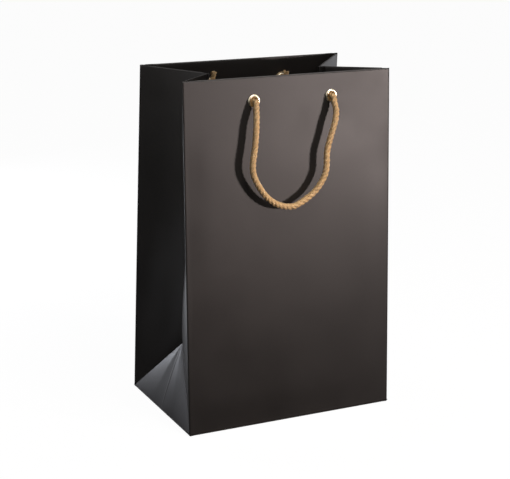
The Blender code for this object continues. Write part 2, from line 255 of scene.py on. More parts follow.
def rope_material():
    """Twisted rope: each strand is a bundle of fine yarns that lie along it at a slant."""
    m, nt, p = new_material("gold_rope")
    uv = nt.nodes.new("ShaderNodeTexCoord").outputs["UV"]
    obj = nt.nodes.new("ShaderNodeTexCoord").outputs["Object"]
    slant = add(nt, "ShaderNodeMapping")
    slant.inputs["Scale"].default_value = (9.0, 0.55, 1.0)
    slant.inputs["Rotation"].default_value = (0.0, 0.0, 0.12)
    nt.links.new(uv, slant.inputs["Vector"])
    yarn_and_groove_shade = add(nt, "ShaderNodeTexWave", Scale=1.0, Distortion=1.2, Detail=2.0)
    yarn_and_groove_shade.inputs["Detail Scale"].default_value = 1.5
    nt.links.new(slant.outputs["Vector"], yarn_and_groove_shade.inputs["Vector"])
    hair_map = add(nt, "ShaderNodeMapping")
    hair_map.inputs["Scale"].default_value = (70.0, 4.0, 1.0)
    nt.links.new(uv, hair_map.inputs["Vector"])
    hair_and_glints = add(nt, "ShaderNodeTexNoise", Scale=1.0, Detail=3.0, Roughness=0.7)
    nt.links.new(hair_map.outputs["Vector"], hair_and_glints.inputs["Vector"])
    tone = add(nt, "ShaderNodeTexNoise", Scale=60.0, Detail=3.0, Roughness=0.6)
    nt.links.new(obj, tone.inputs["Vector"])
    # The yarn pattern also sets the colour from the same values as its bump: deep orange where the relief is low
    # between the yarns and pale gold on their raised crowns. That is painted shade in the grooves and painted light
    # on the crowns, over the rope's own gold.
    c = mixed(nt, yarn_and_groove_shade.outputs["Fac"], (0.66, 0.350, 0.120), (0.97, 0.70, 0.37))
    c = mixed(nt, ramp(nt, tone.outputs["Fac"], 0.3, 0.7, 0.0, 0.45), c, (0.88, 0.52, 0.19))
    # The fine hair noise, which also raises the bump, paints the raised fibres paler: painted glints on the loose
    # fibres.
    c = mixed(nt, ramp(nt, hair_and_glints.outputs["Fac"], 0.55, 0.8, 0.0, 0.6), c, (0.98, 0.82, 0.50))
    nt.links.new(c, p.inputs["Base Color"])
    p.inputs["Roughness"].default_value = 0.42
    p.inputs["Sheen Weight"].default_value = 0.8
    p.inputs["Sheen Roughness"].default_value = 0.4
    p.inputs["Sheen Tint"].default_value = (1.0, 0.86, 0.62, 1.0)
    b1 = add(nt, "ShaderNodeBump", Strength=0.7, Distance=0.00025)
    nt.links.new(yarn_and_groove_shade.outputs["Fac"], b1.inputs["Height"])
    b2 = add(nt, "ShaderNodeBump", Strength=0.6, Distance=0.00012)
    nt.links.new(hair_and_glints.outputs["Fac"], b2.inputs["Height"])
    nt.links.new(b1.outputs["Normal"], b2.inputs["Normal"])
    nt.links.new(b2.outputs["Normal"], p.inputs["Normal"])
    return m


ROPE = rope_material()


# ---- mesh helpers ---------------------------------------------------------------------------------
def make_piece(name, verts, faces, mats, smooth_angle=40, wear=None, uvs=None):
    mesh = bpy.data.meshes.new(name)
    mesh.from_pydata([tuple(v * MM) for v in verts], [], faces)
    for m in mats:
        mesh.materials.append(m)
    mesh.update()
    if wear is not None:
        a = mesh.attributes.new("wear", "FLOAT", "POINT")
        a.data.foreach_set("value", [float(w) for w in wear])
    if uvs is not None:
        layer = mesh.uv_layers.new(name="UVMap")
        for loop in mesh.loops:
            layer.data[loop.index].uv = uvs[loop.vertex_index]
    mesh.shade_smooth()
    mesh.set_sharp_from_angle(angle=math.radians(smooth_angle))
    obj = bpy.data.objects.new(name, mesh)
    bpy.context.scene.collection.objects.link(obj)
    return obj


def face_towards(obj, direction):
    """Turn the faces so that the mesh as a whole faces direction."""
    total = Vector()
    for f in obj.data.polygons:
        total += f.normal * f.area
    if total.dot(direction) < 0:
        obj.data.flip_normals()


def thicken(obj, thickness=SHEET):
    """A sheet: its middle surface becomes a closed thin solid, liner inside, satin outside."""
    m = obj.modifiers.new("thickness", "SOLIDIFY")
    m.thickness = thickness * MM
    m.offset = 0.0
    m.use_even_offset = True
    m.use_rim = True
    if len(obj.data.materials) > 1:
        m.material_offset = 1
        m.material_offset_rim = 0
    return obj


def grid_faces(rows, cols, index, skip=()):
    faces = []
    for r in range(rows - 1):
        for c in range(cols - 1):
            if (r, c) in skip:
                continue
            faces.append((index(r, c), index(r, c + 1), index(r + 1, c + 1), index(r + 1, c)))
    return faces


def holed_grid(ss, xs, point, wear, holes, radius, reach=8.0, rings=3):
    """A grid over rows ss and columns xs; each hole (x, s) swaps its square for rings round it."""
    skip, patches = set(), []
    for hx, hs in holes:
        c0 = min(range(len(xs)), key=lambda i: abs(xs[i] - (hx - reach)))
        c1 = min(range(len(xs)), key=lambda i: abs(xs[i] - (hx + reach)))
        r0 = min(range(len(ss)), key=lambda i: abs(ss[i] - (hs - reach)))
        r1 = min(range(len(ss)), key=lambda i: abs(ss[i] - (hs + reach)))
        r0, r1 = min(r0, r1), max(r0, r1)
        for r in range(r0, r1):
            for c in range(c0, c1):
                skip.add((r, c))
        loop = [(r0, c) for c in range(c0, c1)] + [(r, c1) for r in range(r0, r1)] \
            + [(r1, c) for c in range(c1, c0, -1)] + [(r, c0) for r in range(r1, r0, -1)]
        patches.append((hx, hs, loop, r0, r1, c0, c1))
    dead = set()
    for _, _, _, r0, r1, c0, c1 in patches:
        for r in range(r0 + 1, r1):
            for c in range(c0 + 1, c1):
                dead.add((r, c))
    verts, marks, ids = [], [], {}
    for r, s in enumerate(ss):
        for c, x in enumerate(xs):
            if (r, c) in dead:
                continue
            ids[(r, c)] = len(verts)
            verts.append(point(x, s, r, c))
            marks.append(wear(x, s))
    faces = grid_faces(len(ss), len(xs), lambda r, c: ids[(r, c)] if (r, c) in ids else -1, skip)
    for hx, hs, loop, *_ in patches:
        previous = [ids[k] for k in loop]
        for ring in range(1, rings + 1):
            t = ring / rings
            current = []
            for k in loop:
                x, s = xs[k[1]], ss[k[0]]
                a = math.atan2(s - hs, x - hx)
                cx, cs = hx + radius * math.cos(a), hs + radius * math.sin(a)
                px, ps = x + (cx - x) * t, s + (cs - s) * t
                current.append(len(verts))
                verts.append(point(px, ps, -1, -1))
                marks.append(wear(px, ps))
            n = len(loop)
            for i in range(n):
                faces.append((previous[i], previous[(i + 1) % n], current[(i + 1) % n],
                              current[i]))
            previous = current
    return verts, faces, marks


def fillet(a, b, radius, steps):
    """Offsets from a corner along unit directions a to b, rounded with radius."""
    half = math.acos(max(-1.0, min(1.0, a.dot(b)))) / 2
    length = radius / math.tan(half)
    centre = (a + b).normalized() * (radius / math.sin(half))
    start, end = a * length - centre, b * length - centre
    out = []
    for i in range(steps + 1):
        t = i / steps
        v = start.slerp(end, t) if start.angle(end) > 1e-6 else start
        out.append(centre + v)
    return out, length


# ---- gusset surface ---------------------------------------------------------------------------------
def gusset_point(u, v):
    """Left-front half: u from side fold 0 to centre crease 1, v from diagonal 0 to rim 1.
    The crease isn't quite straight: it bows outwards above the triangle."""
    a = BOTTOM.lerp(RIM, v)
    b = TIP.lerp(CENTRE_TOP, v)
    b.x -= 5.2 * math.sin(math.pi * min(max(v, 0.0), 1.0) ** 0.68)
    return a.lerp(b, u)


def gusset_normal(u, v):
    """Into the bag."""
    e = 0.01
    du = gusset_point(min(u + e, 1), v) - gusset_point(max(u - e, 0), v)
    dv = gusset_point(u, min(v + e, 1)) - gusset_point(u, max(v - e, 0))
    n = du.cross(dv).normalized()
    return n if n.x > 0 else -n


def row_width(v):
    return (gusset_point(1, v) - gusset_point(0, v)).length


# ---- panels -------------------------------------------------------------------------------------------
def hem_depth(x):
    """Middle of the hem behind the panel: over the board, then flat on the panel at the corners."""
    return 0.44 + (HEM_W - 0.44) * smooth((HALF_W - 12.5 - abs(x)) / 4.5)


def rim_radius(x):
    if abs(x) > HALF_W - 6.2:
        return 0.0
    return hem_depth(x) / 2


def panel_wave(x, s, seed):
    """Gentle outward bow and slow waves of a paper panel, none at its folds and stiff rim."""
    edge = smooth((HALF_W - abs(x)) / 28.0) * smooth(s / 34.0) * smooth((HEIGHT - 34.0 - s) / 60.0)
    n = noise.noise(Vector((x / 95.0 + seed, s / 120.0, seed * 1.7)))
    n2 = noise.noise(Vector((x / 38.0 - seed, s / 46.0, seed * 3.1)))
    return -edge * (0.55 + 0.55 * n + 0.10 * n2)


def panel_columns():
    fine = []
    for x in EYELET_X.values():
        fine += [x - 8.0 + 2.0 * i for i in range(9)]
    out = [x for x in [-(HALF_W - 6.2) + i * (2 * HALF_W - 12.4) / 36 for i in range(37)]
           if all(abs(x - e) > 10.5 for e in EYELET_X.values())]
    out += fine + [-(HALF_W - 13), -(HALF_W - 15), HALF_W - 13, HALF_W - 15]
    out = sorted(set(round(x, 4) for x in out))
    kept = [out[0]]
    for x in out[1:]:
        if x - kept[-1] > 0.8:
            kept.append(x)
    return kept


def build_panel(fname, sy):
    xs = panel_columns()
    s0 = BASE_Z / math.cos(LEAN) + 0.78
    top = HEIGHT
    fine_s = [EYELET_S - 8.0 + 2.0 * i for i in range(9)]
    ss = [s0, s0 + 1.2, s0 + 3.0] + [s0 + 3 + (EYELET_S - 12 - s0 - 3) * i / 44
                                     for i in range(1, 45)] + fine_s + [HEIGHT - 6.0, HEIGHT - 2.6,
                                                                        HEIGHT - 1.35, top]
    # Extra columns at each side run round the side fold and a little way onto the gusset.
    extra = 10
    cols = [("L", i) for i in range(extra)] + [("M", x) for x in xs] \
        + [("R", i) for i in range(extra - 1, -1, -1)]
    coords = []
    for kind, val in cols:
        coords.append(val if kind == "M" else (-(HALF_W - 3.0) if kind == "L" else HALF_W - 3.0))
    up, inn = panel_up(sy), panel_in(sy)
    cache = {}

    def wrap(sx, s):
        key = (sx, round(s, 3))
        if key not in cache:
            v = min(max(s / HEIGHT, 0.0), 1.0)
            corner = panel_point(sy, sx * HALF_W, s)
            side = mirrored(gusset_point(0.05, v) - gusset_point(0.0, v), sx, sy)
            b = (side - up * side.dot(up)).normalized()
            a = Vector((-sx, 0, 0))
            arc, length = fillet(a, b, FOLD_R, 6)
            pts = [corner + a * (length + 0.22)] + [corner + o for o in arc]
            pts.append(corner + b * (length + 0.55))
            # from the gusset end inwards, to match column order at the left side
            cache[key] = ([corner + a * 3.4] + pts)[::-1]
        return cache[key]

    def point(x, s, r, c):
        if c == -1:
            return panel_point(sy, x, s, panel_wave(x, s, 2.0 + sy))
        kind, val = cols[c]
        if kind == "M":
            if r == len(ss) - 1:
                s = HEIGHT - rim_radius(val)
            return panel_point(sy, val, s, panel_wave(val, s, 2.0 + sy))
        return wrap(-1 if kind == "L" else 1, s)[val]

    def wear(x, s):
        side = 0.10 * math.exp(-max(HALF_W - 2.6 - abs(x), 0.0) / 1.1) if abs(x) > HALF_W - 12 else 0
        low = 0.5 * math.exp(-max(s - s0, 0.0) / 1.4)
        corner = 0.9 * math.exp(-math.hypot(HALF_W - abs(x), s) / 3.0)
        return min(1.0, max(side, low, corner))

    holes = [(EYELET_X["left"], EYELET_S), (EYELET_X["right"], EYELET_S)]
    verts, faces, marks = holed_grid(ss, coords, point, wear, holes, 4.2)
    obj = make_piece(fname + "_panel_sheet", verts, faces, [PAPER_OUT, PAPER_IN],
                     wear=marks)
    face_towards(obj, -inn)
    thicken(obj)
    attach(obj, fname + "_panel")
    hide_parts(fname + "_panel")
    return obj


def build_hem(fname, sy):
    """The rim: the sheet rolls over the board and runs down inside."""
    xs = [x for x in panel_columns()]
    arc = 8
    fine_s = [EYELET_S + 8.0 - 2.0 * i for i in range(9)]
    rows = [("arc", i) for i in range(arc + 1)] + [("in", s) for s in
            [HEIGHT - 3.5, HEIGHT - 7.0] + fine_s + [HEIGHT - 32, HEIGHT - 37, HEIGHT - 41,
                                                     HEIGHT - 44, HEIGHT - 45]]
    # row coordinates only have to be monotonic and exact at the holes
    ss = [HEIGHT + 6.0 - 0.6 * i for i in range(arc + 1)] + [r[1] for r in rows[arc + 1:]]

    def sheet(x, kind, val):
        r = rim_radius(x) if abs(x) <= HALF_W - 6.2 else 0.22
        if kind == "arc":
            a = math.pi * val / arc
            return panel_point(sy, x, HEIGHT - r + r * math.sin(a), r - r * math.cos(a))
        lift = 0.12 * noise.noise(Vector((x / 30.0, val / 20.0, 9.0 + sy)))
        low = smooth((HEIGHT - 38 - val) / 8.0)
        return panel_point(sy, x, val, hem_depth(x) + 0.12 + lift * low + 0.35 * low)

    def point(x, s, r, c):
        if r == -1:
            return sheet(x, "in", s)
        return sheet(x, *rows[r])

    def wear(x, s):
        return 0.35 if s > HEIGHT + 1.4 else (0.25 if s < HEIGHT - 44.4 else 0.0)

    holes = [(EYELET_X["left"], EYELET_S), (EYELET_X["right"], EYELET_S)]
    verts, faces, marks = holed_grid(ss, xs, point, wear, holes, 4.2)
    obj = make_piece(fname + "_rim_hem", verts, faces, [PAPER_OUT, PAPER_OUT],
                     wear=marks)
    face_towards(obj, panel_in(sy))
    thicken(obj)
    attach(obj, fname + "_panel")
    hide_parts(fname + "_hem")
    return obj


for fname, sy in FACES:
    build_panel(fname, sy)
    build_hem(fname, sy)


# ---- gussets --------------------------------------------------------------------------------------------
def blend_range(sx, sy):
    """Just past the crease from the triangle's tip to the rim corner, across the inner facet."""
    crease = (RIM - TIP).normalized()
    across = CENTRE_TOP - TIP
    across = (across - crease * across.dot(crease)).normalized()
    start, end = TIP - across * 0.5, TIP + across * 9.0
    return mirrored(start, sx, sy) * MM, mirrored(end, sx, sy) * MM


def build_gusset_half(sname, sx, fname, sy):
    us_mm = [1.0, 1.6, 2.6, 5.0] + [5.0 + i * 5.2 for i in range(1, 12)]
    rows = 84
    vs = [0.0, 0.002, 0.006] + [0.006 + (1 - 0.2 / HEIGHT - 0.006) * i / rows
                                for i in range(1, rows)] + [1 - 0.7 / HEIGHT, 1 - 0.2 / HEIGHT]
    verts, marks = [], []
    cols = len(us_mm) + 7
    seed = 4.0 + sx + 2.3 * sy
    for v in vs:
        w = row_width(v)
        us = [m / w for m in us_mm[:4]]
        us += [us[3] + (1 - 3.0 / w - us[3]) * i / (len(us_mm) - 4)
               for i in range(1, len(us_mm) - 3)]
        us += [1 - 1.8 / w, 1 - 1.0 / w, 1 - 0.5 / w, 1 - 0.2 / w, 1.0]
        for u in us:
            p, n = gusset_point(u, v), gusset_normal(u, v)
            edge = smooth(u / 0.35) * smooth((1 - u) / 0.35) * smooth(v / 0.12) \
                * smooth((1 - v) / 0.12)
            k = noise.noise(Vector((u * 1.3 + seed, v * 3.2, seed)))
            p = p + n * (edge * (0.5 + 1.1 * k))
            verts.append(mirrored(p, sx, sy))
            d_centre, d_diag = (1 - u) * w, v * HEIGHT
            marks.append(max(0.8 * math.exp(-d_centre / 0.6), 0.8 * math.exp(-d_diag / 0.9),
                             0.3 * math.exp(-(u * w) / 1.4), 0.2 if v > 0.9985 else 0.0))
        # Past the crease the sheet runs on a little, so that the halves still meet when the mouth opens.
        b = gusset_point(1, v)
        onward = (b - gusset_point(0, v)).normalized()
        for d in (0.15 + 0.80 * v, 0.30 + 1.60 * v):
            verts.append(mirrored(b + onward * d, sx, sy))
            marks.append(0.0)
    faces = grid_faces(len(vs), cols, lambda r, c: r * cols + c)
    obj = make_piece(f"{sname}_{fname}_gusset_sheet", verts, faces, [PAPER_OUT, PAPER_IN],
                     wear=marks)
    face_towards(obj, Vector((sx, 0, 0)))
    thicken(obj)
    start, end = blend_range(sx, sy)
    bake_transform(obj)
    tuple(start)
    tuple(end)
    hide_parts(f"{sname}_{fname}_gusset_side", f"{sname}_{fname}_gusset_inner")

    # A strip behind the crease, on the front half, covers it when the mouth closes.
    if fname == "front":
        verts = []
        for v in vs:
            b = gusset_point(1, v)
            far = mirrored(gusset_point(0, v), -1, 1)      # the other half's side fold
            other = (far - b).normalized()
            own, inward = gusset_normal(1, v), mirrored(gusset_normal(1, v), -1, 1)
            back = (gusset_point(0, v) - b).normalized()
            ridge = b + (own + inward) * (0.40 / (1 + own.dot(inward)))
            for p in (b + back * 1.2 + own * 0.40, ridge, b + other * 0.9 + inward * 0.40,
                      b + other * (1.1 + 2.3 * v) + inward * (0.42 + 0.2 * v)):
                verts.append(mirrored(p, sx, sy))
        faces = grid_faces(len(vs), 4, lambda r, c: r * 4 + c)
        strip = make_piece(f"{sname}_gusset_crease_strip", verts, faces, [PAPER_IN, PAPER_IN],
                           wear=[0.0] * len(verts))
        face_towards(strip, Vector((-sx, 0, 0)))
        thicken(strip, 0.2)
        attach(strip, f"{sname}_{fname}_gusset_inner")

    # Turned-in rim of the gusset.
    cols_mm = [8.5 + (HALF_D - 3.6 - 8.5) * i / 16 for i in range(17)]
    profile = [("arc", i) for i in range(6)] + [("in", s) for s in (2.0, 6, 12, 18, 24, 29, 33, 34)]
    verts, marks = [], []
    for kind, val in profile:
        for m in cols_mm:
            u = m / HALF_D
            if kind == "arc":
                a = math.pi * val / 5
                r = 0.22
                p = gusset_point(u, 1.0)
                n = gusset_normal(u, 1.0)
                down = (gusset_point(u, 0.99) - p).normalized()
                p = p + down * (r - r * math.sin(a)) + n * (r - r * math.cos(a))
                marks.append(0.25)
            else:
                v = 1 - val / (HEIGHT - HALF_D * u)
                low = smooth((val - 22) / 12.0)
                p = gusset_point(u, v) + gusset_normal(u, v) * (0.50 + 0.3 * low)
                marks.append(0.25 if val > 33.5 else 0.0)
            verts.append(mirrored(p, sx, sy))
    faces = grid_faces(len(profile), len(cols_mm), lambda r, c: r * len(cols_mm) + c)
    hem = make_piece(f"{sname}_{fname}_gusset_rim_hem", verts, faces, [PAPER_OUT, PAPER_OUT],
                     wear=marks)
    face_towards(hem, Vector((-sx, 0, 0)))
    thicken(hem)
    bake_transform(hem)
    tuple(start)
    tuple(end)
    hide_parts(f"{sname}_{fname}_gusset_hem")


def build_triangle(sname, sx):
    """Foot of the gusset: tipped in, with the flattened crease that ran down its middle."""
    plane_up = Vector((math.sin(TILT), 0, math.cos(TILT)))
    into = Vector((math.cos(TILT), 0, -math.sin(TILT)))
    k0 = (BASE_Z / math.cos(TILT) + FOLD_R / math.tan((math.pi / 2 - TILT) / 2) - 0.06) / HALF_D
    ks = [k0, k0 + 0.012, k0 + 0.03] + [k0 + 0.03 + (0.994 - k0 - 0.03) * i / 30
                                        for i in range(1, 31)]
    half = [0.0, 0.25, 0.55, 1.0, 1.8]
    verts, marks = [], []
    cols = None
    for k in ks:
        width = HALF_D * (1 - k)
        m = [h for h in half] + [1.8 + (width - 1.0 - 1.8) * i / 14 for i in range(1, 14)] \
            + [width - 0.9, width - 0.4, width]
        m = [min(max(x, 0.0), width) for x in m]
        for i in range(1, len(m)):
            m[i] = max(m[i], m[i - 1] + width * 0.002)
        scale = width / m[-1]
        m = [x * scale for x in m]
        ys = [-x for x in m[::-1]] + m[1:]
        line = []
        for y in ys:
            dent = math.sin(math.pi * min(max((k - 0.02) / 0.98, 0), 1)) ** 0.8
            falloff = max(0.0, 1 - abs(y) / max(width, 1e-6))
            soft = noise.noise(Vector((y / 30.0, k * 2.5, 5.0 + sx)))
            # fuller below and hollow above, with the flattened crease standing up in the middle
            off = -2.3 * dent * min(1.0, 1.6 * falloff) ** 0.9 + 1.3 * dent * falloff ** 1.4 \
                + 0.25 * dent * soft * min(1, 3 * falloff) - 0.30 * dent * bump(y, 0.0, 0.7)
            p = Vector((-HALF_W, y, 0)) + plane_up * (k * HALF_D) + into * off
            line.append((p, max(0.95 * math.exp(-abs(y) / 0.55),
                                0.7 * math.exp(-(width - abs(y)) / 0.9),
                                0.5 * math.exp(-(k - k0) * HALF_D / 1.4))))
        # A narrow flap past each diagonal, behind the gusset half, hides the open pivot.
        for sgn, at in ((-1, 0), (1, len(line) - 1)):
            t = 1 - abs(line[at][0].y) / HALF_D
            corner = Vector((-HALF_W, sgn * HALF_D, 0))
            diag = (TIP - corner).normalized()
            edge = corner + diag * ((TIP - corner).length * min(t, 1.0))
            g = mirrored(gusset_point(0.5, 0.04) - gusset_point(0.5, 0.0), -1, sgn)
            g = (g - diag * g.dot(diag)).normalized()
            n = mirrored(gusset_normal(0.5, 0.0), -1, sgn)
            reach = 1.7 * smooth((1 - t) / 0.10)
            pts = [(edge + g * (0.5 * reach / 1.7) + n * 0.42, 0.1), (edge + g * reach + n * 0.55,
                                                                      0.1)]
            if sgn < 0:
                line = pts[::-1] + line
            else:
                line = line + pts
        cols = len(line)
        for p, w in line:
            verts.append(mirrored(p, sx, -1))
            marks.append(w)
    faces = grid_faces(len(ks), cols, lambda r, c: r * cols + c)
    obj = make_piece(f"{sname}_triangle_sheet", verts, faces, [PAPER_OUT, PAPER_IN],
                     wear=marks)
    face_towards(obj, Vector((sx, 0, 0)))
    thicken(obj)
    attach(obj, f"{sname}_gusset_triangle")
    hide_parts(f"{sname}_gusset_triangle")


for sname, sx in SIDES:
    build_triangle(sname, sx)
    for fname, sy in FACES:
        build_gusset_half(sname, sx, fname, sy)


# ---- base: the bottom sheet with its folds turned up all round, and the board --------------------------
def build_base():
    def edge_profile(limit, interior):
        """(distance from the middle, height) from the outer end of the turned-up fold inwards."""
        a3 = Vector((-math.cos(interior), 0, math.sin(interior)))
        flat = Vector((-1, 0, 0))
        arc, _ = fillet(a3, flat, FOLD_R, 6)
        return [(limit + o.x, o.z) for o in arc]

    side = edge_profile(HALF_W - BASE_Z * math.tan(TILT), math.pi / 2 - TILT)
    front = edge_profile(HALF_D - BASE_Z * math.tan(LEAN), math.pi / 2 - LEAN)
    # the walls lean inwards, so the upper end of each arc stands inside the corner
    side = [(min(x, HALF_W), z) for x, z in side]

    def line(profile, inner, n):
        left = [(-d, z) for d, z in profile]
        mid = [(-inner + 2 * inner * i / n, 0.0) for i in range(n + 1)]
        right = [(d, z) for d, z in profile[::-1]]
        return left + mid + right

    cols, rows = line(side, HALF_W - 5, 20), line(front, HALF_D - 5, 14)
    verts, marks = [], []
    for y, zy in rows:
        for x, zx in cols:
            verts.append(Vector((x, y, BASE_Z + zx + zy)))
            near = min(HALF_W - abs(x), HALF_D - abs(y))
            marks.append(0.55 * math.exp(-max(near - 0.8, 0) / 1.2))
    faces = grid_faces(len(rows), len(cols), lambda r, c: r * len(cols) + c)
    obj = make_piece("base_bottom_sheet", verts, faces, [PAPER_OUT, PAPER_IN],
                     wear=marks)
    face_towards(obj, Vector((0, 0, -1)))
    thicken(obj)
    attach(obj, "base")
    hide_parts("base_front_flap")

    lo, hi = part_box("base_board")
    lo, hi = lo / MM, hi / MM
    r, n = 3.0, 6
    outline = []
    for cx, cy, a0 in ((hi.x - r, hi.y - r, 0), (lo.x + r, hi.y - r, 90),
                       (lo.x + r, lo.y + r, 180), (hi.x - r, lo.y + r, 270)):
        for i in range(n + 1):
            a = math.radians(a0 + 90 * i / n)
            outline.append((cx, cy, math.cos(a), math.sin(a)))
    levels = [(lo.z, -0.35), (lo.z + 0.15, -0.08), (lo.z + 0.4, 0.0), (hi.z - 0.4, 0.0),
              (hi.z - 0.15, -0.08), (hi.z, -0.35)]
    verts = []
    for z, grow in levels:
        for cx, cy, ca, sa in outline:
            verts.append(Vector((cx + (r + grow) * ca, cy + (r + grow) * sa, z)))
    k = len(outline)
    faces = []
    for lv in range(len(levels) - 1):
        for i in range(k):
            j = (i + 1) % k
            faces.append((lv * k + i, lv * k + j, (lv + 1) * k + j, (lv + 1) * k + i))
    faces.append(tuple(range(k))[::-1])
    faces.append(tuple((len(levels) - 1) * k + i for i in range(k)))
    board = make_piece("base_stiffener_board", verts, faces, [BOARD],
                       smooth_angle=50)
    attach(board, "base")
    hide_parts("base_board")


build_base()


# ---- rope ------------------------------------------------------------------------------------------------
def resample(points, step):
    """Catmull-Rom through the points, at even steps."""
    pts = [points[0] * 2 - points[1]] + list(points) + [points[-1] * 2 - points[-2]]
    dense = []
    for i in range(1, len(pts) - 2):
        p0, p1, p2, p3 = pts[i - 1:i + 3]
        for k in range(24):
            t = k / 24
            dense.append(0.5 * ((2 * p1) + (p2 - p0) * t + (2 * p0 - 5 * p1 + 4 * p2 - p3) * t * t
                                + (3 * p1 - p0 - 3 * p2 + p3) * t ** 3))
    dense.append(pts[-2].copy())
    lengths = [0.0]
    for a, b in zip(dense, dense[1:]):
        lengths.append(lengths[-1] + (b - a).length)
    n = max(4, round(lengths[-1] / step))
    out, j = [], 0
    for i in range(n + 1):
        want = lengths[-1] * i / n
        while j < len(lengths) - 2 and lengths[j + 1] < want:
            j += 1
        span = lengths[j + 1] - lengths[j] or 1.0
        out.append(dense[j].lerp(dense[j + 1], min(1.0, (want - lengths[j]) / span)))
    return out, lengths[-1]


def rope_mesh(points, radius, pitch, start_ball=0.0, end_ball=0.0, step=0.8, sides=12,
              phase=0.0, splay=0.0, slack=None):
    """Three strands laid round a path.  A ball end narrows over its radius; splay opens the tail."""
    path, total = resample(points, step)
    n = len(path)
    tangents = [(path[min(i + 1, n - 1)] - path[max(i - 1, 0)]).normalized() for i in range(n)]
    ref = Vector((0, 1, 0)) if abs(tangents[0].y) < 0.8 else Vector((1, 0, 0))
    u = (ref - tangents[0] * ref.dot(tangents[0])).normalized()
    frames = [u]
    for i in range(1, n):
        q = tangents[i - 1].rotation_difference(tangents[i])
        u = q @ u
        u = (u - tangents[i] * u.dot(tangents[i])).normalized()
        frames.append(u)
    verts, faces, uvs = [], [], []
    strand_r, offset = radius * 0.53, radius * 0.49
    for k in range(3):
        base = len(verts)
        for i in range(n):
            d = total * i / (n - 1)
            scale = 1.0
            if start_ball and d < start_ball:
                scale = min(scale, math.sqrt(max(0.0, 1 - (1 - d / start_ball) ** 2)))
            if end_ball and total - d < end_ball:
                scale = min(scale, math.sqrt(max(0.0, 1 - (1 - (total - d) / end_ball) ** 2)))
            scale = max(scale, 0.05)
            loosen = splay * smooth((d - total + 4.5) / 4.5)
            twist = phase + 2 * math.pi * (d / pitch + k / 3)
            u = frames[i]
            v = tangents[i].cross(u)
            out = u * math.cos(twist) + v * math.sin(twist)
            wob = 1 + 0.035 * noise.noise(Vector((d / 3.1, k * 7.7, phase)))
            c = path[i] + out * (offset * scale * wob * (1 + loosen))
            # the strand runs at a slant; its section is square to its own direction
            slope = 2 * math.pi * offset * scale / pitch
            along = (tangents[i] + (-u * math.sin(twist) + v * math.cos(twist)) * slope).normalized()
            e1 = out
            e2 = along.cross(e1).normalized()
            for s in range(sides):
                a = 2 * math.pi * s / sides
                rr = strand_r * scale * (1 + 0.028 * math.cos(5 * a + d * 1.9))
                verts.append(c + e1 * (rr * math.cos(a)) + e2 * (rr * math.sin(a)))
                uvs.append((s / sides if s <= sides / 2 else 1 - s / sides, d / 6.0))
        for i in range(n - 1):
            for s in range(sides):
                s2 = (s + 1) % sides
                faces.append((base + i * sides + s, base + i * sides + s2,
                              base + (i + 1) * sides + s2, base + (i + 1) * sides + s))
        faces.append(tuple(base + s for s in range(sides))[::-1])
        faces.append(tuple(base + (n - 1) * sides + s for s in range(sides)))
    return verts, faces, uvs


ROPE_R = 3.05
PITCH = 13.5
DROP = 103.6
SPAN = EYELET_X["right"] - EYELET_X["left"]
BEND = SPAN / 2
STRAND = DROP - BEND


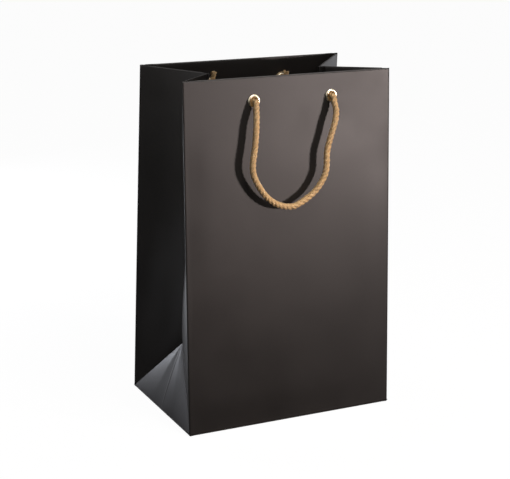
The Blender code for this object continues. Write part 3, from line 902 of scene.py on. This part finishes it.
def build_rope(fname, sy):
    pivot = HANDLE_PIVOT[fname]
    up, inn = panel_up(sy), panel_in(sy)
    tilt = math.radians(3.0)
    hang = -up * math.cos(tilt) - inn * math.sin(tilt)
    out = hang.cross(Vector((1, 0, 0))).normalized()
    out = out if out.dot(inn) < 0 else -out
    mid = Vector(((EYELET_X["left"] + EYELET_X["right"]) / 2, pivot.y, pivot.z))
    sign = 1 if fname == "front" else -0.6

    def wander(x, d):
        """Small sideways set in each strand, as a rope keeps from being coiled."""
        if x < 0:
            return sign * (-2.2 * bump(d, 34, 26) - 3.6 * bump(d, 61, 16))
        return sign * (1.3 * bump(d, 15, 9) - 7.9 * bump(d, 56, 24) - 5.0 * bump(d, 88, 16))

    def stand(x, d):
        """Out of the loop's plane: the strands bow away from the panel."""
        return 3.6 * math.sin(math.pi * min(d / DROP, 1.0)) + 1.6 * bump(d, 20, 15) + (0.9 * bump(d, 22, 12) if x > 0
                                                              else 0.4 * bump(d, 40, 16))

    flat = [(-BEND, STRAND * i / 9) for i in range(9)]
    flat += [(-BEND * math.cos(math.pi * i / 18), STRAND + BEND * math.sin(math.pi * i / 18))
             for i in range(19)]
    flat += [(BEND, STRAND * i / 9) for i in range(8, -1, -1)]
    points = []
    for x, d in flat:
        if d > STRAND:
            d -= 1.3 * smooth((d - STRAND) / 20) + 2.4 * bump(x, 19, 14) * max(sign, 0.0)
        fade = smooth(d / 9.0)
        points.append(mid + Vector((x + fade * wander(x, d) - 5.0 * smooth(d / DROP), 0, 0))
                      + hang * d + out * (stand(x, d) * fade))
    points[0] = points[0] + hang * 1.0
    points[-1] = points[-1] + hang * 1.0
    first = (points[0] - points[1]).normalized()
    last = (points[-1] - points[-2]).normalized()
    points = [points[0] + first * ROPE_R] + points + [points[-1] + last * ROPE_R]
    verts, faces, uvs = rope_mesh(points, ROPE_R, PITCH, ROPE_R, ROPE_R, phase=0.4)
    obj = make_piece(fname + "_rope_handle", verts, faces, [ROPE], 60, uvs=uvs)
    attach(obj, fname + "_handle")
    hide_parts(fname + "_handle_cord")

    for sname, sx in SIDES:
        x0 = EYELET_X[sname]
        right, top = Vector((1, 0, 0)), up

        def at(w, a=0.0, b=0.0):
            return panel_point(sy, x0 + a, EYELET_S + b, w)

        pivot_w = (pivot - panel_point(sy, pivot.x, EYELET_S)).dot(inn)
        pts = [at(pivot_w - ROPE_R + 0.1, 0, -1.1), at(pivot_w, 0, -1.0), at(-1.5, 0, -0.4), at(1.5),
               at(4.4, 0.2, -0.3)]
        turns, start = 1.55, math.radians(-110 if sname == "left" else -60)
        n = 13
        for i in range(n + 1):
            a = start + 2 * math.pi * turns * i / n
            r = 3.5 * smooth(0.35 + i / 4) * (1.0 - 0.12 * i / n)
            pts.append(at(6.4 + 5.0 * i / n, r * math.cos(a), r * math.sin(a)))
        lean = 0.24 if sname == "left" else 0.10
        tail = 12.4 if sname == "left" else 8.2
        pts += [at(11.4, 1.6, 0.6), at(9.6, 1.8, 3.2), at(8.8, 1.4 + 5 * lean, 6.0),
                at(8.9, 1.2 + 9 * lean, tail)]
        verts, faces, uvs = rope_mesh(pts, 2.62, 11.0, ROPE_R * 0.95, 0.0, step=0.7, phase=1.1 + sx,
                                      splay=0.35)
        knot = make_piece(f"{fname}_{sname}_rope_knot", verts, faces, [ROPE], 60,
                          uvs=uvs)
        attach(knot, fname + "_panel")
        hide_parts(f"{fname}_{sname}_knot")


for fname, sy in FACES:
    build_rope(fname, sy)


# ---- eyelets and washers -------------------------------------------------------------------------------------
def lathe(name, profile, sy, x0, body, node, metal, segments=72):
    verts, faces = [], []
    n = len(profile)
    for k in range(segments):
        a = 2 * math.pi * k / segments
        for r, w in profile:
            verts.append(panel_point(sy, x0 + r * math.cos(a), EYELET_S + r * math.sin(a), w))
    for k in range(segments):
        k2 = (k + 1) % segments
        for i in range(n):
            j = (i + 1) % n
            faces.append((k * n + i, k * n + j, k2 * n + j, k2 * n + i))
    obj = make_piece(name, verts, faces, [metal], 50)
    # outward facing: a closed ring has no net area vector, so test one face
    f = obj.data.polygons[0]
    centre = panel_point(sy, x0, EYELET_S, sum(w for _, w in profile) / n) * MM
    ring = (f.center - centre)
    mean_r = sum(r for r, _ in profile) / n * MM
    axis = panel_in(sy)
    radial = (ring - axis * ring.dot(axis)).normalized()
    core = centre + radial * mean_r
    if f.normal.dot(f.center - core) < 0:
        obj.data.flip_normals()
    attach(obj, body)
    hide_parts(node)
    return obj


def dome(r0, r1, w_base, height, steps):
    """A rounded rim between two radii."""
    out = []
    for i in range(steps + 1):
        a = math.pi * i / steps
        r = (r0 + r1) / 2 - (r1 - r0) / 2 * math.cos(a)
        out.append((r, w_base - height * math.sin(a) ** 0.8))
    return out


for fname, sy in FACES:
    for sname, sx in SIDES:
        x0 = EYELET_X[sname]
        body = fname + "_panel"
        outer = dome(3.3, 6.15, -0.22, 1.15, 14)
        roll = [(3.9, 3.0), (5.0, 3.0), (5.3, 3.12), (5.4, 3.4), (5.2, 3.65), (4.7, 3.8),
                (4.1, 3.8), (3.6, 3.65), (3.35, 3.4)]
        lathe(f"{fname}_{sname}_brass_eyelet", outer + [(6.0, -0.19), (4.2, -0.19), (3.9, -0.05)]
              + roll + [(3.3, 3.0), (3.3, 1.0)], sy, x0, body, f"{fname}_{sname}_eyelet", BRASS)
        lathe(f"{fname}_{sname}_brass_washer",
              [(4.25, 2.2), (6.2, 2.2), (6.5, 2.32), (6.6, 2.5), (6.45, 2.66), (6.1, 2.72),
               (4.6, 2.78), (4.3, 2.7)], sy, x0, body, f"{fname}_{sname}_washer",
              DULL_BRASS)

# ---- CAD nodes that keep their shape get their finish -----------------------------------------------------------
for name, mat in (("base_back_flap", PAPER_IN), ("base_left_dust_flap", PAPER_IN),
                  ("base_right_dust_flap", PAPER_IN), ("side_seam_tab", PAPER_IN),
                  ("front_top_board", BOARD), ("back_top_board", BOARD)):
    node = frame["nodes"][name]
    node.data.materials.clear()
    node.data.materials.append(mat)

# ---- floor, light, camera ------------------------------------------------------------------------------------------
FILL = 0.10
mesh = bpy.data.meshes.new("floor")
R = 6.0
mesh.from_pydata([(-R, -R, -0.0004), (R, -R, -0.0004), (R, R, -0.0004), (-R, R, -0.0004)], [],
                 [(0, 1, 2, 3)])
floor = bpy.data.objects.new("floor", mesh)
bpy.context.scene.collection.objects.link(floor)
fm, fnt, fp = new_material("pale_floor")
fp.inputs["Base Color"].default_value = (0.16, 0.16, 0.16, 1)
fp.inputs["Roughness"].default_value = 0.95
fp.inputs["Specular IOR Level"].default_value = 0.0
glow = add(fnt, "ShaderNodeEmission", Color=(1, 1, 1, 1), Strength=0.955)
# Behind the object the floor glows for every ray but the camera's: a painted pool of light in place of a lit floor,
# so that the back and grazing folds pick it up.
where = fnt.nodes.new("ShaderNodeSeparateXYZ")
fnt.links.new(fnt.nodes.new("ShaderNodeTexCoord").outputs["Object"], where.inputs[0])
painted_floor_glow = add(fnt, "ShaderNodeEmission", Color=(0.93, 0.95, 1.0, 1))
near = fnt.nodes.new("ShaderNodeMath")
near.operation = "MULTIPLY"
fnt.links.new(ramp(fnt, where.outputs["Y"], 0.18, 0.60, 0.0, 1.1), near.inputs[0])
fnt.links.new(ramp(fnt, where.outputs["X"], -0.42, -0.12, 0.0, 1.0), near.inputs[1])
wide = fnt.nodes.new("ShaderNodeMath")
wide.operation = "MAXIMUM"
fnt.links.new(near.outputs[0], wide.inputs[0])
fnt.links.new(ramp(fnt, where.outputs["Y"], 0.25, 1.1, 0.0, 0.55), wide.inputs[1])
fnt.links.new(wide.outputs[0], painted_floor_glow.inputs["Strength"])
floor_and_painted_glow = fnt.nodes.new("ShaderNodeAddShader")
fnt.links.new(fp.outputs["BSDF"], floor_and_painted_glow.inputs[0])
fnt.links.new(painted_floor_glow.outputs["Emission"], floor_and_painted_glow.inputs[1])
over = fnt.nodes.new("ShaderNodeAddShader")
fnt.links.new(fp.outputs["BSDF"], over.inputs[0])
fnt.links.new(glow.outputs["Emission"], over.inputs[1])
pick = fnt.nodes.new("ShaderNodeMixShader")
seen = fnt.nodes.new("ShaderNodeLightPath")
fnt.links.new(seen.outputs["Is Camera Ray"], pick.inputs["Fac"])
fnt.links.new(floor_and_painted_glow.outputs["Shader"], pick.inputs[1])
fnt.links.new(over.outputs["Shader"], pick.inputs[2])
fnt.links.new(pick.outputs["Shader"], fnt.nodes["Material Output"].inputs["Surface"])
mesh.materials.append(fm)

# White sweep behind the object, and a dim even fill for everything it lights.
world = bpy.data.worlds.new("studio")
bpy.context.scene.world = world
world.use_nodes = True
wnt = world.node_tree
bg = wnt.nodes["Background"]
bg.inputs["Color"].default_value = (1.0, 1.0, 1.0, 1)
fill = wnt.nodes.new("ShaderNodeMapRange")
wpath = wnt.nodes.new("ShaderNodeLightPath")
wnt.links.new(wpath.outputs["Is Camera Ray"], fill.inputs["Value"])
fill.inputs["To Min"].default_value = FILL
fill.inputs["To Max"].default_value = 1.0
# Shiny things see a bright ceiling and a soft panel on the left.
high = wnt.nodes.new("ShaderNodeSeparateXYZ")
wnt.links.new(wnt.nodes.new("ShaderNodeTexCoord").outputs["Generated"], high.inputs[0])
ceiling = wnt.nodes.new("ShaderNodeMath")
ceiling.operation = "MULTIPLY"
side_dot = wnt.nodes.new("ShaderNodeVectorMath")
side_dot.operation = "DOT_PRODUCT"
side_dot.inputs[1].default_value = Vector((-0.80, -0.58, 0.15)).normalized()
wnt.links.new(high.inputs[0].links[0].from_socket, side_dot.inputs[0])
both = wnt.nodes.new("ShaderNodeMath")
both.operation = "ADD"
wnt.links.new(ramp(wnt, high.outputs["Z"], 0.42, 0.72, 0.0, 1.3), both.inputs[0])
wnt.links.new(ramp(wnt, side_dot.outputs["Value"], 0.80, 0.95, 0.0, 1.0), both.inputs[1])
wnt.links.new(both.outputs[0], ceiling.inputs[0])
wnt.links.new(wpath.outputs["Is Glossy Ray"], ceiling.inputs[1])
total = wnt.nodes.new("ShaderNodeMath")
total.operation = "ADD"
wnt.links.new(fill.outputs["Result"], total.inputs[0])
wnt.links.new(ceiling.outputs[0], total.inputs[1])
wnt.links.new(total.outputs[0], bg.inputs["Strength"])


def area_light(name, location, target, size, power, color=(1, 1, 1), size_y=None):
    data = bpy.data.lights.new(name, "AREA")
    data.energy = power
    data.color = color
    data.size = size
    if size_y:
        data.shape = "RECTANGLE"
        data.size_y = size_y
    obj = bpy.data.objects.new(name, data)
    bpy.context.scene.collection.objects.link(obj)
    obj.location = location
    obj.rotation_mode = "QUATERNION"
    obj.rotation_quaternion = (Vector(target) - Vector(location)).to_track_quat("-Z", "Y")
    obj.visible_camera = False
    return obj


def spot_light(name, location, target, power, angle, soft, color):
    data = bpy.data.lights.new(name, "SPOT")
    data.energy = power
    data.color = color
    data.shadow_soft_size = soft
    data.spot_size = math.radians(angle)
    data.spot_blend = 1.0
    obj = bpy.data.objects.new(name, data)
    bpy.context.scene.collection.objects.link(obj)
    obj.location = location
    obj.rotation_mode = "QUATERNION"
    obj.rotation_quaternion = (Vector(target) - Vector(location)).to_track_quat("-Z", "Y")
    return obj


area_light("key_right", (1.32, -1.54, 0.29), (0.0, -0.06, 0.27), 0.18,
           12.2, (1.0, 0.86, 0.82), 0.13)
spot_light("key_upper", (1.32, -1.54, 0.29), (-0.10, -0.06, 0.318), 71.0, 16.0, 0.070,
           (1.0, 0.85, 0.81))
spot_light("fold_graze", (-0.42, 1.00, 0.22), (-0.108, -0.062, 0.160), 70.0, 9.0, 0.05,
           (0.90, 0.94, 1.0))
area_light("top_front", (0.15, -0.75, 0.95), (0.02, -0.05, 0.30), 0.50, 2.5, (1.0, 0.96, 0.93))
spot_light("rope_top", (0.02, -0.35, 0.90), (0.0, -0.074, 0.218), 10.0, 15.0, 0.06,
           (1.0, 0.95, 0.88))
area_light("kicker_back_left", (-0.42, 1.00, 0.16), (-0.10, 0.0, 0.06), 0.45, 4.2,
           (0.88, 0.91, 1.0), 0.22)

cam_data = bpy.data.cameras.new("camera")
cam_data.sensor_width = 36.0
cam_data.lens = 101.89
cam = bpy.data.objects.new("camera", cam_data)
bpy.context.scene.collection.objects.link(cam)
yaw, pitch, roll = (math.radians(a) for a in (26.382, 15.979, 0.880))
view_dir = Vector((math.sin(yaw) * math.cos(pitch), math.cos(yaw) * math.cos(pitch),
                   -math.sin(pitch)))
right = Vector((math.cos(yaw), -math.sin(yaw), 0.0))
upv = right.cross(view_dir)
r2 = right * math.cos(roll) + upv * math.sin(roll)
u2 = -right * math.sin(roll) + upv * math.cos(roll)
m3 = Matrix((r2, u2, -view_dir)).transposed()
cam.matrix_world = Matrix.Translation((-0.6240, -1.2425, 0.5629)) @ m3.to_4x4()
cam_data.clip_start, cam_data.clip_end = 0.05, 30.0
bpy.context.scene.camera = cam
bpy.context.scene.view_settings.view_transform = "Standard"
